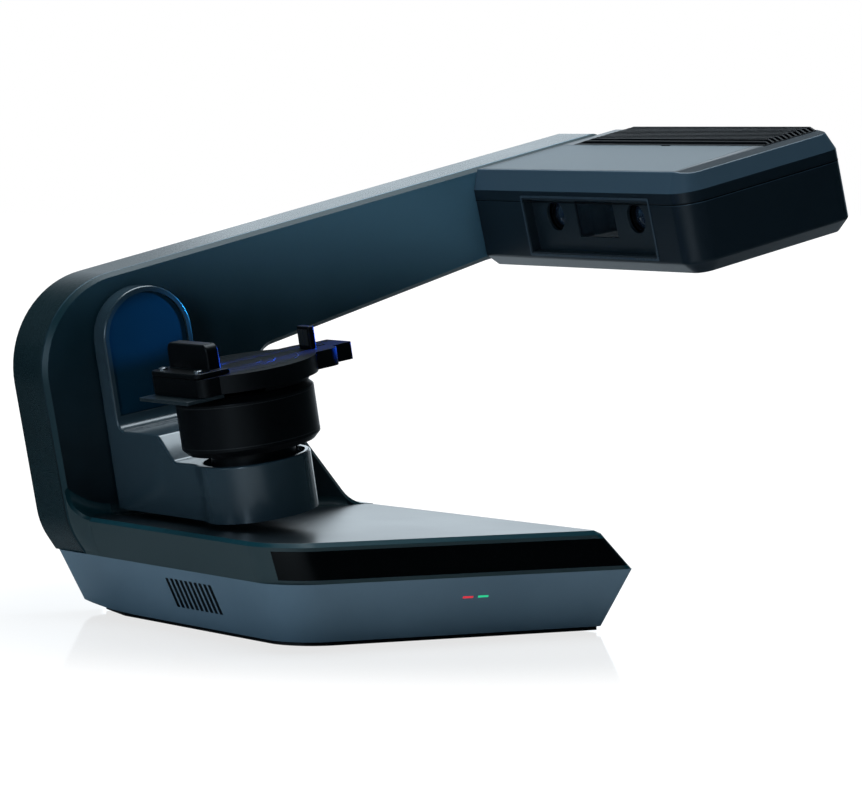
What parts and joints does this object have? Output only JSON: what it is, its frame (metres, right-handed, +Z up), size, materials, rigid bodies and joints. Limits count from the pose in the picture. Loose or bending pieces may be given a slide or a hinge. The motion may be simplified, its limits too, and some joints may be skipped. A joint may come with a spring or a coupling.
{
  "type": "desktop 3d scanner",
  "caption": "Desktop structured-light scanner: hollow base, C-shaped frame, tilted head with paired cameras and a projector, and a swinging cradle with a turntable and clamp.",
  "frame": {"origin": "centre of the whole scanner's footprint box, on the surface it stands on", "axes": "+Z up; +X to the operator's right along the arm; the operator stands at -Y, and the C-shaped frame stands at +Y"},
  "size_m": [0.4139, 0.2669, 0.2875],
  "materials": {
    "slate_shell": "satin",
    "deck_satin": "satin",
    "gloss_band": "gloss",
    "frame_paint": "satin",
    "navy_panel": "satin",
    "light_panel": "satin",
    "black_plastic": "satin",
    "black_metal": "satin",
    "rubber": "matte",
    "aluminium": "satin",
    "steel": "satin",
    "nylon": "satin",
    "board": "satin",
    "chip": "satin",
    "lens_glass": "gloss",
    "lamp_red": "gloss",
    "lamp_green": "gloss"
  },
  "bodies": {
    "stand": {"base_lower_shell": "slate_shell", "status_light_red": "lamp_red", "status_light_green": "lamp_green", "base_front_band": "gloss_band", "base_deck_shell": "deck_satin", "base_bottom_plate": "black_plastic", "rubber_feet": "rubber", "ballast_plate": "steel", "main_board": "board", "main_board_posts": "steel", "main_board_chips": "chip", "frame_face": "frame_paint", "frame_housing": "frame_paint", "frame_screws": "steel", "inner_spine": "aluminium", "data_socket": "steel", "power_jack": "black_plastic", "socket_board": "board", "power_switch": "black_plastic", "swing_bearings": "steel", "motor_bracket": "aluminium", "swing_motor": "steel", "head_lower_housing": "slate_shell", "head_top_cover": "slate_shell", "head_top_panel": "light_panel", "head_grille": "black_plastic", "window_bezel": "black_plastic", "projector_window": "lens_glass", "optics_bench": "aluminium", "camera_left": "black_plastic", "camera_right": "black_plastic", "camera_lenses": "lens_glass", "camera_boards": "board", "projector_body": "black_plastic", "projector_lens": "lens_glass", "projector_legs": "aluminium", "fan_frame": "black_plastic", "fan_posts": "steel", "head_board": "board", "head_board_posts": "steel"},
    "power_button": {"power_button": "black_plastic"},
    "swing_pinion": {"swing_pinion": "steel"},
    "cradle": {"cradle_shell": "slate_shell", "cradle_face_panel": "navy_panel", "cradle_bottom_cover": "slate_shell", "swing_shaft": "steel", "swing_gear": "steel", "table_bearing": "steel", "table_motor": "steel"},
    "turntable": {"turntable_drum": "black_metal", "turntable_shaft": "steel", "table_gear": "nylon"},
    "table_pinion": {"table_pinion": "steel"},
    "fixture": {"fixture_base": "black_metal", "fixture_post": "black_metal"},
    "jaw": {"fixture_jaw": "black_metal", "fixture_pull_tab": "black_metal"},
    "fan_rotor": {"fan_rotor": "black_plastic"}
  },
  "joints": [
    {"name": "cradle_swing", "type": "hinge", "parent": "stand", "child": "cradle", "pos_m": [-0.14698, 0.09085, 0.1631], "axis": [0, 1, 0], "range_deg": [-19.8, 40.2]},
    {"name": "swing_pinion_spin", "type": "hinge", "parent": "stand", "child": "swing_pinion", "pos_m": [-0.13198, 0.09085, 0.13712], "axis": [0, 1, 0], "range_deg": [-161.8, 80.2]},
    {"name": "turntable_spin", "type": "hinge", "parent": "cradle", "child": "turntable", "pos_m": [-0.14698, -0.02665, 0.1631], "axis": [-0.1771, 0, 0.9842], "continuous": true},
    {"name": "table_pinion_spin", "type": "hinge", "parent": "cradle", "child": "table_pinion", "pos_m": [-0.14698, 0.00335, 0.1631], "axis": [-0.1771, 0, 0.9842], "continuous": true},
    {"name": "fixture_lift", "type": "slide", "parent": "turntable", "child": "fixture", "axis": [-0.1771, 0, 0.9842], "range_m": [0, 0.03]},
    {"name": "jaw_slide", "type": "slide", "parent": "fixture", "child": "jaw", "axis": [0.9842, 0, 0.1771], "range_m": [-0.008, 0.009]},
    {"name": "power_press", "type": "slide", "parent": "stand", "child": "power_button", "axis": [0, -1, 0], "range_m": [0, 0.0012], "stiffness_N_per_m": 800, "springref_m": -0.001},
    {"name": "fan_spin", "type": "hinge", "parent": "stand", "child": "fan_rotor", "pos_m": [0.17339, -0.01915, 0.26287], "axis": [-0.2402, 0, 0.9707], "continuous": true}
  ],
  "couplings": [
    {"joint": "swing_pinion_spin", "follows": "cradle_swing", "ratio": -4},
    {"joint": "table_pinion_spin", "follows": "turntable_spin", "ratio": -4}
  ]
}
